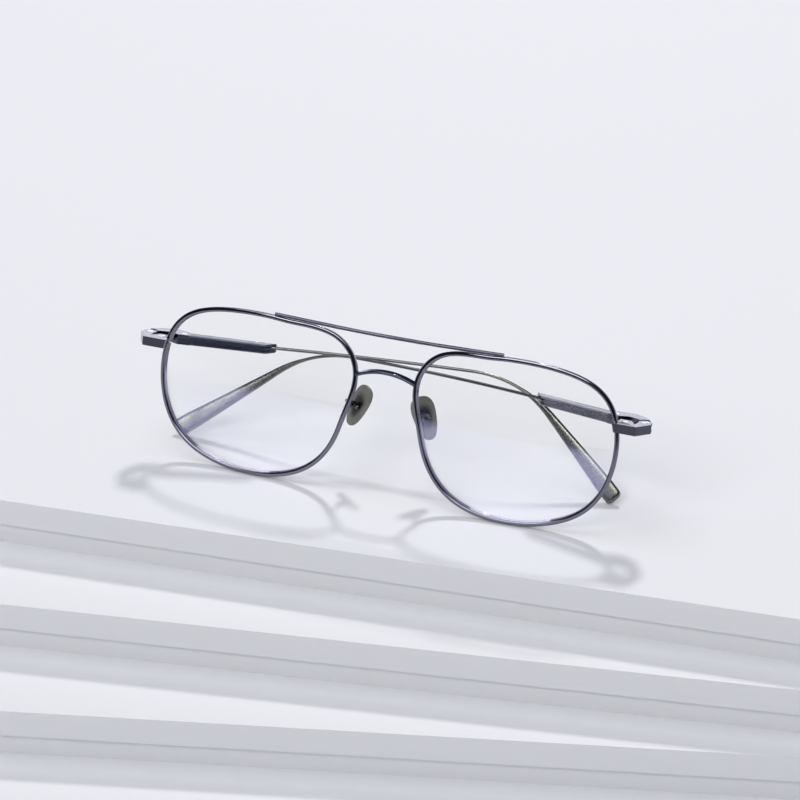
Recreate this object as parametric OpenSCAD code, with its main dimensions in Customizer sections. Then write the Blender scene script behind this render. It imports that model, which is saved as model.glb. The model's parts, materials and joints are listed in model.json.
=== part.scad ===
// Folding metal eyeglasses with a double bridge, standing on their rims and temple tips.
// Millimetres. X runs along the front, Y runs back towards the head, Z is up.
// The front is modelled upright in its own frame and then leant back onto its rims.
// Left is the -X side. Side pieces are drawn for +X and mirrored for -X.

/* [Front] */
// Width of one rim, centre line to centre line
eye_w = 54.1; // [46:0.1:60]
// Height of one rim, centre line to centre line
eye_h = 42.5; // [36:0.1:50]
// Distance between the two lens centres
centre_dist = 72; // [68:0.5:78]
// Radius of the sphere that the front of each lens follows
base_r = 131; // [90:1:260]
// Turn of each lens about the vertical, outer side back
wrap = 2.3; // [0:0.1:8]
// Lean of the front when it stands on its rims, top back
lean = 13.8; // [8:0.1:20]

/* [Rim] */
// Width of the rim wire seen from the front
rim_w = 1.25; // [1:0.05:2]
// Depth of the rim wire from front to back
rim_d = 1.7; // [1.4:0.05:2.6]
// Chamfer on the four edges of the rim wire
rim_edge = 0.28; // [0.1:0.02:0.3]
// Depth of the groove that holds the lens
groove_d = 0.4; // [0.2:0.05:0.5]
// Split between the two ends of the rim wire at the lock
rim_split = 0.3; // [0.1:0.05:0.5]

/* [Lens] */
// Thickness of the lens at its middle
lens_t = 1.5; // [1.2:0.1:2.5]
// Thickness of the lens at its edge
lens_edge_t = 1; // [0.8:0.05:1.1]
// Clearance between the lens and its groove
lens_gap = 0.04; // [0.02:0.01:0.08]

/* [Brow bar and bridge] */
// Diameter of the brow bar
brow_d = 0.9; // [0.8:0.05:1.8]
// Length of the brow bar
brow_len = 62.6; // [56:0.2:66]
// How deep the brow bar is soldered into the tops of the rims at its ends
brow_seat = 0.12; // [0.04:0.01:0.4]
// How far the brow bar's axis lies behind the rims' front faces
brow_inset = 0.2; // [0:0.05:0.6]
// How far the middle of the brow bar hangs below its ends
brow_sag = 0.7; // [0.3:0.1:1.6]
// Height of the middle of the bridge above the lens centres
bridge_z = 11.6; // [9:0.1:14]
// Radius of the bridge arch
bridge_r = 17.8; // [13:0.1:26]
// Height of the bridge strip
bridge_h = 0.85; // [0.6:0.05:1.6]
// Depth of the bridge strip
bridge_d = 1.7; // [1.2:0.05:2.6]
// Tilt of the arch, its top forward
bridge_tilt = 12; // [0:1:25]
// How far the arch's feet stand before the rims' centre lines
bridge_ahead = 0.25; // [0:0.05:0.5]
// How deep the arch's feet are soldered into the rims
bridge_seat = 0.35; // [0.2:0.05:0.5]

/* [Endpiece] */
// Height of the endpieces and of the hinge line above the lens centres
hinge_z = 8.4; // [4:0.1:12]
// Height of the endpiece block
end_h = 2.4; // [2.2:0.05:3.6]
// How far the endpiece reaches out from the rim centre line to its front corner
end_out = 6.05; // [5:0.05:9]
// How far its front face stands before the rim centre line
end_front = 3.1; // [2.2:0.05:4]
// Diameter of the screw that closes the rim
lock_screw_d = 1; // [0.8:0.05:1.2]

/* [Hinge] */
// How far the hinge pin lies outside the rim centre line
pin_out = 6.65; // [6.2:0.05:9]
// How far the hinge pin lies behind the rim centre line
pin_back = 3; // [2.6:0.05:4.5]
// Diameter of the hinge screw's shank
pin_d = 1.1; // [0.8:0.05:1.4]
// Outer diameter of the hinge ears
ear_d = 3.5; // [3:0.1:4.4]
// Height of the temple's barrel between the ears
barrel_h = 1; // [0.8:0.05:1.4]
// Thickness of each hinge washer
washer_t = 0.1; // [0.05:0.01:0.15]
// Running clearance round the hinge screw
pin_gap = 0.02; // [0.01:0.01:0.05]
// Angle left between the front and a folded temple
fold_angle = 13.1; // [12:0.1:18]

/* [Temple] */
// Height of the temple block
block_h = 2.7; // [2.5:0.05:4]
// Height of the block at its far end
block_end_h = 2.4; // [2:0.05:4]
// Thickness of the block
block_t = 2.8; // [2.2:0.05:3.4]
// Distance from the hinge pin to the far end of the block
block_len = 33.4; // [28:0.1:44]
// Distance of the block's inner face inside the hinge pin
block_in = 0.7; // [0.4:0.05:1.2]
// How far the knuckle bows out beyond the block
bow_out = 2.2; // [0.8:0.1:2.6]
// Diameter of the temple wire
wire_d = 0.85; // [0.75:0.05:1.6]
// Length of the temple from the hinge pin, measured along the wire
temple_len = 137; // [128:0.5:142]
// Distance from the hinge pin to the start of the ear bend
bend_at = 86; // [82:0.5:92]
// Radius of the ear bend
bend_r = 31; // [24:0.5:36]
// Angle of the left temple's ear bend
bend_left = 44.27; // [38:0.05:48]
// Angle of the right temple's ear bend
bend_right = 39.75; // [38:0.05:48]
// How far the left tip curves in towards the head
in_left = 13.7; // [8:0.1:22]
// How far the right tip curves in towards the head
in_right = 21; // [8:0.1:22]
// Rise of both wires from their blocks, taken midway between the two
rise = 0.7; // [-0.2:0.01:1.2]
// Clearance between the folded wires where the left one lies over the right one
cross_gap = 0.42; // [0.15:0.01:1]
// Height of the flat tip
tip_h = 4.7; // [3.4:0.1:6.5]
// Thickness of the flat tip
tip_t = 1.5; // [1.1:0.05:2.4]
// Length of the flat tip, including the run that widens
tip_len = 38; // [28:0.5:42]

/* [Nose pad] */
// Length of a nose pad
pad_len = 11.6; // [9:0.1:14]
// Width of a nose pad at its middle
pad_w = 6; // [4.6:0.1:7.5]
// Thickness of a nose pad
pad_t = 1.1; // [0.8:0.05:1.6]
// Share by which the pad is wider at its top and narrower below
pad_egg = 0.24; // [0:0.01:0.3]
// Distance of the pad's middle from the centre plane
pad_x = 9.2; // [8.6:0.05:10.5]
// Distance of the pad's middle behind the front's apex plane
pad_y = 8.8; // [8:0.05:11]
// Height of the pad's middle above the lens centres
pad_z = -0.6; // [-2:0.1:2]
// Splay of the pad's face towards the back
pad_splay = 60; // [50:1:66]
// Pitch of the pad, its top towards the nose
pad_pitch = 13.6; // [6:0.2:20]
// Turn of the pad in its own plane
pad_turn = 17.6; // [8:0.2:24]
// Diameter of the pad arm wire
arm_d = 0.9; // [0.7:0.05:1.2]
// Diameter of the pad screw's shank
pad_pin_d = 0.6; // [0.5:0.05:0.8]

/* [Hidden] */
$fn = 48;

eps = 0.01;
titanium = [0.30, 0.29, 0.34];
gunmetal = [0.22, 0.22, 0.27];
olive = [0.35, 0.35, 0.32];
screw_grey = [0.55, 0.56, 0.60];
clear = [0.75, 0.80, 0.90, 0.35];

// Outline of a rim: control points of a closed cubic B-spline about the lens centre
// a runs outwards from the nose, b runs up
outline_ctrl = [
  [28.5, 7.7], [19.8, 20.1], [-5.5, 21.5], [-7.6, 19.8], [-22.5, 20.4],
  [-29.4, 10], [-25.1, -1.9], [-23.3, -11.2], [-11.7, -23.4], [23.8, -20.2]];
outline_n = len(outline_ctrl);
outline_steps = 96;

function wrap_index(i) = (i % outline_n + outline_n) % outline_n;
function ctrl(i) = outline_ctrl[wrap_index(i)];
function spline_blend(f) = [
  pow(1 - f, 3) / 6,
  (3 * pow(f, 3) - 6 * pow(f, 2) + 4) / 6,
  (-3 * pow(f, 3) + 3 * pow(f, 2) + 3 * f + 1) / 6,
  pow(f, 3) / 6];
function raw_outline(x) =
  let (i = floor(x), w = spline_blend(x - i))
  w[0] * ctrl(i - 1) + w[1] * ctrl(i) + w[2] * ctrl(i + 1) + w[3] * ctrl(i + 2);

// The drawn outline is stretched to the chosen width and height
raw_points = [for (i = [0:0.05:outline_n - 0.05]) raw_outline(i)];
raw_w = max([for (p = raw_points) p[0]]) - min([for (p = raw_points) p[0]]);
raw_h = max([for (p = raw_points) p[1]]) - min([for (p = raw_points) p[1]]);
function outline(x) = [raw_outline(x)[0] * eye_w / raw_w, raw_outline(x)[1] * eye_h / raw_h];

// Depth of the front's surface and its forward normal at a point of the lens
function depth(p) = (p[0] * p[0] + p[1] * p[1]) / (2 * base_r) + tan(wrap) * p[0];
function unit(v) = v / norm(v);
function forward(p) = unit([p[0] / base_r + tan(wrap), -1, p[1] / base_r]);
function on_front(p) = [centre_dist / 2 + p[0], depth(p), p[1]];
function rim_point(x) = on_front(outline(x));
function rim_tangent(x) = unit(rim_point(x + 0.02) - rim_point(x - 0.02));
function rim_out(x) = unit(cross(rim_tangent(x), forward(outline(x))));
function rim_offset(x, o, n) = rim_point(x) + o * rim_out(x) + n * forward(outline(x));

// Parameter on the outline's outer side at which it reaches a given height
function outer_x(b, lo, hi, steps) =
  steps == 0 ? (lo + hi) / 2
  : outline((lo + hi) / 2)[1] < b ? outer_x(b, (lo + hi) / 2, hi, steps - 1)
  : outer_x(b, lo, (lo + hi) / 2, steps - 1);
// The same on its inner side, and on its top side for a given distance from the lens centre
function inner_x(b, lo, hi, steps) =
  steps == 0 ? (lo + hi) / 2
  : outline((lo + hi) / 2)[1] > b ? inner_x(b, (lo + hi) / 2, hi, steps - 1)
  : inner_x(b, lo, (lo + hi) / 2, steps - 1);
function top_x(a, lo, hi, steps) =
  steps == 0 ? (lo + hi) / 2
  : outline((lo + hi) / 2)[0] > a ? top_x(a, (lo + hi) / 2, hi, steps - 1)
  : top_x(a, lo, (lo + hi) / 2, steps - 1);
lock_x = outer_x(hinge_z, -0.5, 1, 24);
lock_point = rim_point(lock_x);
lock_slant = atan2(rim_tangent(lock_x)[0], rim_tangent(lock_x)[2]);
split_share = rim_split / 2 * 0.02 / norm(rim_point(lock_x + 0.01) - rim_point(lock_x - 0.01));

// Closed skin over a list of rings with one pole point beyond each end ring
function fan(first, count, pole, turned) = [for (k = [0:count - 1])
  turned ? [pole, first + k, first + (k + 1) % count] : [pole, first + (k + 1) % count, first + k]];
function band(first, second, count) = [for (k = [0:count - 1], half = [0, 1])
  half == 0 ? [first + k, first + (k + 1) % count, second + k]
  : [first + (k + 1) % count, second + (k + 1) % count, second + k]];
module skin(rings, pole_a, pole_b) {
  count = len(rings[0]);
  total = len(rings) * count;
  points = concat([for (ring = rings) each ring], [pole_a, pole_b]);
  bands = [for (j = [0:len(rings) - 2]) each band(j * count, (j + 1) * count, count)];
  start_cap = fan(0, count, total, false);
  end_cap = fan(total - count, count, total + 1, true);
  polyhedron(points = points, faces = concat(bands, start_cap, end_cap), convexity = 8);
}

// Placement of the whole object: leant back, lowest rim point at height 0
function leant(p) = [
  p[0],
  p[1] * cos(lean) + p[2] * sin(lean),
  p[2] * cos(lean) - p[1] * sin(lean)];
module stand() {
  translate([0, -middle_y, -lowest_z])
    rotate([-lean, 0, 0])
      children();
}
module on_side(side) {
  mirror([side < 0 ? 1 : 0, 0, 0])
    children();
}
module place(side) {
  stand()
    on_side(side)
      children();
}

// Rim: a grooved wire bent to the outline and split at the lock
half_w = rim_w / 2;
half_d = rim_d / 2;
groove_mouth = half_d - rim_edge - 0.1;
rim_section = [
  [half_w, -half_d + rim_edge], [half_w, half_d - rim_edge],
  [half_w - rim_edge, half_d], [-half_w + rim_edge, half_d],
  [-half_w, half_d - rim_edge], [-half_w, groove_mouth],
  [-half_w + groove_d, 0], [-half_w, -groove_mouth],
  [-half_w, -half_d + rim_edge], [-half_w + rim_edge, -half_d],
  [half_w - rim_edge, -half_d]];
rim_params = [for (i = [0:outline_steps])
  lock_x + split_share + (outline_n - 2 * split_share) * i / outline_steps];
rim_rings = [for (x = rim_params) [for (s = rim_section) rim_offset(x, s[0], s[1])]];
rim_pole_o = half_w * 0.3;
module rim_wire() {
  skin(
    rim_rings,
    rim_offset(rim_params[0], rim_pole_o, 0),
    rim_offset(rim_params[outline_steps], rim_pole_o, 0));
}

// Lens: bevelled edge in the groove, domed front, hollow back
lens_out = -half_w - lens_gap;
bevel_out = -half_w + groove_d - 2 * lens_gap;
lens_params = [for (i = [0:outline_steps - 1]) outline_n * i / outline_steps];
lens_shares = [0.3, 0.6, 0.85];
function lens_ring(share, face) = [for (x = lens_params)
  let (e = rim_offset(x, lens_out, 0), p = [(e[0] - centre_dist / 2) * share, e[2] * share])
  let (t = lens_t + (lens_edge_t - lens_t) * share * share)
  on_front(p) - [0, face * t / 2, 0]];
function lens_edge(o, n) = [for (x = lens_params) rim_offset(x, o, n)];
module lens_body() {
  middle = on_front([0, 0]);
  rings = concat(
    [for (share = lens_shares) lens_ring(share, 1)],
    [lens_edge(lens_out, lens_edge_t / 2), lens_edge(bevel_out, 0), lens_edge(lens_out, -lens_edge_t / 2)],
    [for (i = [len(lens_shares) - 1:-1:0]) lens_ring(lens_shares[i], -1)]);
  skin(rings, middle - [0, lens_t / 2, 0], middle + [0, lens_t / 2, 0]);
}

// Brow bar: a round rod with a slight sag, resting on the top front edges of the rims
brow_r = brow_len * brow_len / (8 * brow_sag);
brow_half_angle = asin(brow_len / 2 / brow_r);
brow_end = rim_point(top_x(brow_len / 2 - centre_dist / 2, 0.8, 4.2, 24));
brow_y = brow_end[1] - half_d + brow_inset;
module brow_rod() {
  translate([0, brow_y, brow_end[2] + half_w + brow_d / 2 - brow_seat + brow_r * cos(brow_half_angle)])
    rotate([90, 0, 0])
      rotate([0, 0, -90 - brow_half_angle])
        rotate_extrude(angle = 2 * brow_half_angle, $fn = 360)
          translate([brow_r, 0])
            circle(d = brow_d, $fn = 32);
}

// Bridge: a flat strip bent to an arch, its feet in the inner sides of the rims
function bridge_x(z) = inner_x(z, 4.5, 7.5, 24);
function foot_reach(z) =
  rim_point(bridge_x(z))[0] + half_w * rim_out(bridge_x(z))[0] + bridge_seat;
function foot_height(reach) = bridge_z - bridge_r * (1 - cos(asin(reach / bridge_r)));
bridge_reach = foot_reach(foot_height(foot_reach(foot_height(foot_reach(bridge_z)))));
bridge_half_angle = asin(bridge_reach / bridge_r);
bridge_foot_z = foot_height(bridge_reach);
bridge_y = rim_point(bridge_x(bridge_foot_z))[1] - bridge_ahead;
bridge_edge = 0.2;
bridge_section = [
  [-bridge_h / 2 + bridge_edge, -bridge_d / 2], [bridge_h / 2 - bridge_edge, -bridge_d / 2],
  [bridge_h / 2, -bridge_d / 2 + bridge_edge], [bridge_h / 2, bridge_d / 2 - bridge_edge],
  [bridge_h / 2 - bridge_edge, bridge_d / 2], [-bridge_h / 2 + bridge_edge, bridge_d / 2],
  [-bridge_h / 2, bridge_d / 2 - bridge_edge], [-bridge_h / 2, -bridge_d / 2 + bridge_edge]];
module bridge_arch() {
  translate([0, bridge_y, bridge_foot_z])
    rotate([bridge_tilt, 0, 0])
      translate([0, 0, -bridge_r * cos(bridge_half_angle)])
        rotate([90, 0, 0])
          rotate([0, 0, 90 - bridge_half_angle])
            rotate_extrude(angle = 2 * bridge_half_angle, $fn = 96)
              translate([bridge_r, 0])
                polygon(bridge_section);
}

// Endpiece: a block before the rim with the upper half of the lock and the two hinge ears
pin = [lock_point[0] + pin_out, lock_point[1] + pin_back];
front_y = lock_point[1] - end_front;
rim_clear = 0.03;
ear_r = ear_d / 2;
barrel_r = ear_r - 0.15;
slot_r = ear_r + 0.1;
stack_gap = 0.01;
slot_h = barrel_h + 2 * washer_t + 4 * stack_gap;
pin_r = pin_d / 2;
thread_gap = 0.01;
cover_y = lock_point[1] - half_d - 0.12;
lock_behind = 2;
lock_out = 3.3;
lock_back_y = lock_point[1] + lock_behind;
lock_outer_x = lock_point[0] + lock_out;
waist_back = 2.6;
facet_over = 0.3;
neck_in = 0.3;
plan_in = lock_point[0] - 2;
neck_x = 0.85 * ear_r;
facet_end = [pin[0] + ear_r + facet_over, pin[1] - 0.75 * ear_r];
end_plan = [
  [plan_in, front_y], [lock_point[0] + end_out, front_y],
  facet_end, [pin[0] + neck_x, pin[1] - neck_in],
  [pin[0] - neck_x, pin[1] - neck_in], [pin[0] - ear_r, front_y + waist_back],
  [lock_outer_x, lock_back_y], [plan_in, lock_back_y]];
lock_screw_out = 2.2;
lock_screw_back = 0.5;
lock_screw_at = [lock_point[0] + lock_screw_out, lock_point[1] + lock_screw_back];
lock_screw_r = lock_screw_d / 2;
lock_head_r = lock_screw_r + 0.35;
lock_inset = 0.1;
hinge_head_r = pin_r + 0.4;
head_h = 0.28;

// Half space on the nose side of a line that runs beside the rim, from y0 back to y1
module beside_rim(x, y0, y1) {
  reach = 12;
  translate([x, y0, hinge_z])
    rotate([0, lock_slant, 0])
      translate([-reach, 0, -reach / 2])
        cube([reach, y1 - y0, reach]);
}
module upright(at, r, z0, z1) {
  translate([at[0], at[1], z0])
    cylinder(r = r, h = z1 - z0);
}
module endpiece_block() {
  top = hinge_z + end_h / 2;
  bottom = hinge_z - end_h / 2;
  difference() {
    union() {
      translate([0, 0, bottom])
        linear_extrude(end_h)
          polygon(end_plan);
      upright(pin, ear_r, bottom, top);
    }
    beside_rim(lock_point[0] - 0.1, front_y - 1, cover_y + eps);
    beside_rim(lock_point[0] + half_w + rim_clear, cover_y, lock_back_y + 1);
    translate([0, cover_y, bottom - 1])
      cube([lock_outer_x + 0.1, lock_back_y - cover_y + 1, 1 + end_h / 2 + rim_split / 2]);
    upright(pin, slot_r, hinge_z - slot_h / 2, hinge_z + slot_h / 2);
    upright(pin, pin_r + thread_gap, bottom - 1, top + 1);
    upright(pin, hinge_head_r + thread_gap, top - head_h, top + 1);
    upright(lock_screw_at, lock_screw_r + thread_gap, bottom - 1, top + 1);
    upright(lock_screw_at, lock_head_r + thread_gap, top - head_h, top + 1);
  }
}

// Rim lock: the lower half of the lock, soldered to the other end of the rim wire
module rim_lock_block() {
  bottom = hinge_z - end_h / 2;
  face = hinge_z - rim_split / 2;
  difference() {
    translate([plan_in, cover_y + rim_clear, bottom])
      cube([lock_outer_x - plan_in - lock_inset, lock_back_y - cover_y - lock_inset, face - bottom]);
    beside_rim(lock_point[0] + half_w + rim_clear, cover_y - 1, lock_back_y + 1);
    upright(lock_screw_at, lock_screw_r + thread_gap, bottom - 1, face + 1);
  }
}

// Screw with a flush slotted head, hanging down from its head's top at height 0
drive_w = 0.22;
module slotted_screw(shank_r, head_r, length) {
  difference() {
    union() {
      translate([0, 0, -head_h])
        cylinder(r = head_r, h = head_h);
      translate([0, 0, -length])
        cylinder(r = shank_r, h = length - head_h / 2);
    }
    translate([-head_r - 1, -drive_w / 2, -head_h / 2])
      cube([2 * head_r + 2, drive_w, head_h]);
  }
}
module rim_screw() {
  translate([lock_screw_at[0], lock_screw_at[1], hinge_z + end_h / 2])
    rotate([0, 0, 25])
      slotted_screw(lock_screw_r, lock_head_r, end_h - 0.1);
}
module hinge_screw() {
  translate([pin[0], pin[1], hinge_z + end_h / 2])
    rotate([0, 0, -35])
      slotted_screw(pin_r, hinge_head_r, end_h);
}
module hinge_washers() {
  for (side = [-1, 1])
    translate([pin[0], pin[1], hinge_z + side * (barrel_h / 2 + stack_gap + washer_t / 2)])
      difference() {
        cylinder(r = barrel_r, h = washer_t, center = true);
        cylinder(r = pin_r + pin_gap, h = 1, center = true);
      }
}

// Temple frame: X outwards, Y back along the open temple, Z up, zero on the hinge pin
block_out = block_t - block_in;
lap_from = 7.6;
lap_to = 10.6;
lap_gap = 0.02;
bow_reach = block_out + bow_out * 4 / 3;
bow_start = [ear_r + 0.2, -0.3];
pocket = [[-block_in, 7.4], [0.9, 5.4], [0.7, 2.6], [0, 1.2]];
function bezier(p, t) =
  pow(1 - t, 3) * p[0] + 3 * t * pow(1 - t, 2) * p[1]
  + 3 * t * t * (1 - t) * p[2] + pow(t, 3) * p[3];
bow_ctrl = [bow_start, [bow_reach, 2.5], [bow_reach, 7.5], [block_out, lap_to]];
bow_plan = concat(
  [for (i = [0:12]) bezier(bow_ctrl, i / 12)],
  [[block_out, lap_to + 0.2], [-block_in, lap_to + 0.2]], pocket);
knuckle_screw_at = [0.8, (lap_from + lap_to) / 2];
knuckle_screw_r = 0.45;

module fold() {
  translate([pin[0], pin[1], hinge_z])
    rotate([0, 0, 90 - fold_angle])
      children();
}
module bow(z0, z1, y0, y1) {
  intersection() {
    translate([0, 0, z0])
      linear_extrude(z1 - z0)
        polygon(bow_plan);
    translate([-2 * block_t, y0, z0 - 1])
      cube([6 * block_t, y1 - y0, z1 - z0 + 2]);
  }
}
module knuckle() {
  half_h = block_h / 2;
  difference() {
    union() {
      difference() {
        union() {
          bow(-half_h, half_h, -2, lap_from);
          bow(0, half_h, lap_from - eps, lap_to);
        }
        cylinder(r = ear_r + 0.15, h = 2 * block_h, center = true);
      }
      cylinder(r = barrel_r, h = barrel_h, center = true);
      translate([0, 0, -barrel_h / 2])
        linear_extrude(barrel_h)
          polygon([[-0.3, 0], [1.3, 0], [2.3, 3.2], [0.9, 3.2]]);
    }
    cylinder(r = pin_r + pin_gap, h = 2 * block_h, center = true);
    upright(knuckle_screw_at, knuckle_screw_r + thread_gap, -half_h, half_h + 1);
    upright(knuckle_screw_at, knuckle_screw_r + 0.35 + thread_gap, half_h - head_h, half_h + 1);
  }
}
module knuckle_screw() {
  translate([knuckle_screw_at[0], knuckle_screw_at[1], block_h / 2])
    rotate([0, 0, 40])
      slotted_screw(knuckle_screw_r, knuckle_screw_r + 0.35, block_h - 0.4);
}

// Temple block: holds the wire in a bore, its inner end cut off at a slant
block_edge = 0.3;
bevel_run = block_t * 0.96;
wire_r = wire_d / 2;
wire_out = 1.3;
wire_toe = 1.6;
bore_deep = 7.4;
wire_in = block_len - bore_deep;
bore_gap = 0.03;
clamp_r = 0.45;
clamp_inset = 2.6;
clamp_pitch = 2.6;
clamp_at = [block_len - clamp_inset - clamp_pitch, block_len - clamp_inset];
clamp_sunk = 0.04;
clamp_touch = 0.02;
function block_section(h) = [
  [-block_in + block_edge, -h / 2], [block_out - block_edge, -h / 2],
  [block_out, -h / 2 + block_edge], [block_out, h / 2 - block_edge],
  [block_out - block_edge, h / 2], [-block_in + block_edge, h / 2],
  [-block_in, h / 2 - block_edge], [-block_in, -h / 2 + block_edge]];
function block_top(y) =
  (block_h + (block_end_h - block_h) * (y - lap_to) / (block_len - lap_to)) / 2;
slot_at = 0.45;
slot_w = 0.3;
slot_deep = 0.9;
function wire_x(y) = wire_out - (y - block_len) * tan(wire_toe);
function wire_z(y, slope) = (y - wire_in) * slope;
// Distance from the hinge pin at which the two folded wires cross, and each wire's slope to there
cross_at = (pin[0] + (wire_out + block_len * tan(wire_toe)) * sin(fold_angle))
  / (cos(fold_angle) + tan(wire_toe) * sin(fold_angle));
half_cross = (wire_r + cross_gap / 2) / (cross_at - wire_in);
slope_left = tan(rise) + half_cross;
slope_right = tan(rise) - half_cross;
module section_plate(y, h) {
  translate([0, y, 0])
    rotate([90, 0, 0])
      linear_extrude(eps)
        polygon(block_section(h));
}
module at_bevel() {
  translate([-block_in, block_len - bevel_run, 0])
    rotate([0, 0, atan2(bevel_run, block_t)])
      children();
}
module temple_block(slope) {
  difference() {
    union() {
      hull() {
        section_plate(lap_to + lap_gap + eps, block_h);
        section_plate(block_len + 1, 2 * block_top(block_len + 1));
      }
      bow(eps - block_h / 2, -lap_gap, lap_from + lap_gap, lap_to + 2 * lap_gap);
    }
    at_bevel()
      translate([-block_t, 0, -block_h])
        cube([4 * block_t, 3 * block_t, 2 * block_h]);
    for (z = [-slot_at, slot_at])
      at_bevel()
        translate([-slot_deep, -slot_deep, z - slot_w / 2])
          cube([0.65 * block_t + slot_deep, 2 * slot_deep, slot_w]);
    upright(knuckle_screw_at, knuckle_screw_r + thread_gap, 0.35 - block_h / 2, 1);
    translate([wire_x(wire_in), wire_in, 0])
      rotate([atan(slope) - 90, 0, wire_toe])
        translate([0, 0, -1])
          cylinder(r = wire_r + bore_gap, h = block_len - wire_in + 4);
    for (y = clamp_at)
      upright([wire_x(y), y], clamp_r + thread_gap, 0, block_h);
  }
}
module clamp_screws(slope) {
  for (y = clamp_at)
    translate([wire_x(y), y, block_top(y) - clamp_sunk])
      difference() {
        clamp_len = block_top(y) - clamp_sunk - wire_z(y + clamp_r, slope) - wire_r - clamp_touch;
        translate([0, 0, -clamp_len])
          cylinder(r = clamp_r, h = clamp_len);
        translate([-1, -0.1, -0.18])
          cube([2, 0.2, 1]);
      }
}

// Temple wire: straight, bent down behind the ear and flattened into the tip
curve_lead = 45.5;
tip_from = bend_at - curve_lead;
tip_cap = 1.6;
cap_half = 0.6;
tip_even = 3;
tip_full = temple_len - tip_cap - tip_even;
wire_sides = 12;
function bend_of(side) = side < 0 ? bend_left : bend_right;
function slope_of(side) = side < 0 ? slope_left : slope_right;
function bend_end(side) = bend_at + bend_r * bend_of(side) * PI / 180;
function side_path(s, side) =
  s < bend_at ? [s, 0]
  : s < bend_end(side) ? let (a = (s - bend_at) / bend_r * 180 / PI)
    [bend_at + bend_r * sin(a), -bend_r * (1 - cos(a))]
  : let (rest = s - bend_end(side), a = bend_of(side))
    [bend_at + bend_r * sin(a) + rest * cos(a), -bend_r * (1 - cos(a)) - rest * sin(a)];
function wire_at(s, side) =
  let (p = side_path(s, side), in = max(0, (s - tip_from) / (temple_len - tip_from)))
  [wire_x(s) - (side < 0 ? in_left : in_right) * in * in, p[0], p[1] + wire_z(s, slope_of(side))];
function tip_share(s) = max(0, min(1, (s - temple_len + tip_len) / (tip_full - temple_len + tip_len)));
function cap_share(s) =
  s <= temple_len - tip_cap ? 1 : s < temple_len ? 0.9 : 0.66;
function rounded(c, n) = sign(c) * pow(abs(c), 2 / n);
function wire_ring(s, side) =
  let (
    t = unit(wire_at(s + 0.05, side) - wire_at(s - 0.05, side)),
    across = unit(cross(t, [0, -t[2], t[1]])),
    up = cross(across, t),
    share = tip_share(s),
    a = cap_share(s) * (wire_r + (tip_h / 2 - wire_r) * share),
    b = cap_share(s) * (wire_r + (tip_t / 2 - wire_r) * share),
    n = 2 + 1.6 * share)
  [for (k = [0:wire_sides - 1]) let (q = 360 * (k + 0.5) / wire_sides)
    wire_at(s, side) + b * rounded(cos(q), n) * across + a * rounded(sin(q), n) * up];
function spread(from, to, count) = [for (i = [0:count - 1]) from + (to - from) * i / count];
function wire_stations(side) = concat(
  spread(wire_in, tip_from, 3), spread(tip_from, bend_at, 10), spread(bend_at, bend_end(side), 12),
  spread(bend_end(side), temple_len - tip_cap, 12),
  [temple_len - tip_cap, temple_len - cap_half, temple_len]);
function wire_rings(side) = [for (s = wire_stations(side)) wire_ring(s, side)];
module temple_wire(side) {
  skin(wire_rings(side), wire_at(wire_in, side), wire_at(temple_len, side));
}

// Nose pads: egg-shaped plates with a lug that rocks on a screw in the box of the pad arm
pad_sides = 28;
pad_dome = 0.35;
pad_rim = 0.28;
lug_w = 0.8;
lug_r = 0.55;
lug_z = pad_t / 2 + 0.95;
cheek = 0.45;
cheek_gap = 0.05;
box_half = lug_w / 2 + cheek_gap + cheek;
box_long = 1.6;
box_floor = lug_z + lug_r + 0.1;
box_top = box_floor + 0.5;
pad_pin_r = pad_pin_d / 2;
module pad_place() {
  translate([pad_x, pad_y, pad_z])
    rotate([0, 0, 90 - pad_splay])
      rotate([90 - pad_pitch, 0, 0])
        rotate([0, 0, pad_turn])
          children();
}
function turn_z(p, a) = [p[0] * cos(a) - p[1] * sin(a), p[0] * sin(a) + p[1] * cos(a), p[2]];
function turn_x(p, a) = [p[0], p[1] * cos(a) - p[2] * sin(a), p[1] * sin(a) + p[2] * cos(a)];
function from_pad(p) =
  [pad_x, pad_y, pad_z] + turn_z(turn_x(turn_z(p, pad_turn), 90 - pad_pitch), 90 - pad_splay);
function pad_ring(share, z) = [for (k = [0:pad_sides - 1])
  let (q = 360 * k / pad_sides, y = rounded(sin(q), 2.5))
  [pad_w / 2 * rounded(cos(q), 2.5) * (1 + pad_egg * y) * share, pad_len / 2 * y * share, z]];
module nose_pad() {
  back = pad_t / 2;
  difference() {
    union() {
      skin(
        [pad_ring(0.5, back), pad_ring(0.93, back), pad_ring(1, back - pad_rim),
         pad_ring(1, pad_rim - back), pad_ring(0.92, -back), pad_ring(0.5, -back - 0.75 * pad_dome)],
        [0, 0, back], [0, 0, -back - pad_dome]);
      translate([-lug_w / 2, -lug_r, back - 0.2])
        cube([lug_w, 2 * lug_r, lug_z - back + 0.2]);
      translate([0, 0, lug_z])
        rotate([0, 90, 0])
          cylinder(r = lug_r, h = lug_w, center = true);
    }
    translate([0, 0, lug_z])
      rotate([0, 90, 0])
        cylinder(r = pad_pin_r + pin_gap, h = 3, center = true);
  }
}
module pad_screw() {
  translate([-box_half, 0, lug_z])
    rotate([0, -90, 0])
      translate([0, 0, head_h])
        slotted_screw(pad_pin_r, pad_pin_r + 0.25, 2 * box_half + head_h);
}
arm_rings = 16;
arm_sides = 8;
arm_r = arm_d / 2;
arm_root = rim_offset(inner_x(2, 4.5, 7.5, 24), -0.1, -half_d + 0.2);
arm_end = from_pad([0, 0, box_top - 0.1]);
arm_ctrl = [
  arm_root, arm_root + [1.9, 2.4, -0.2], from_pad([0.3, 0.4, box_top + 2.2]), arm_end];
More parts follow.
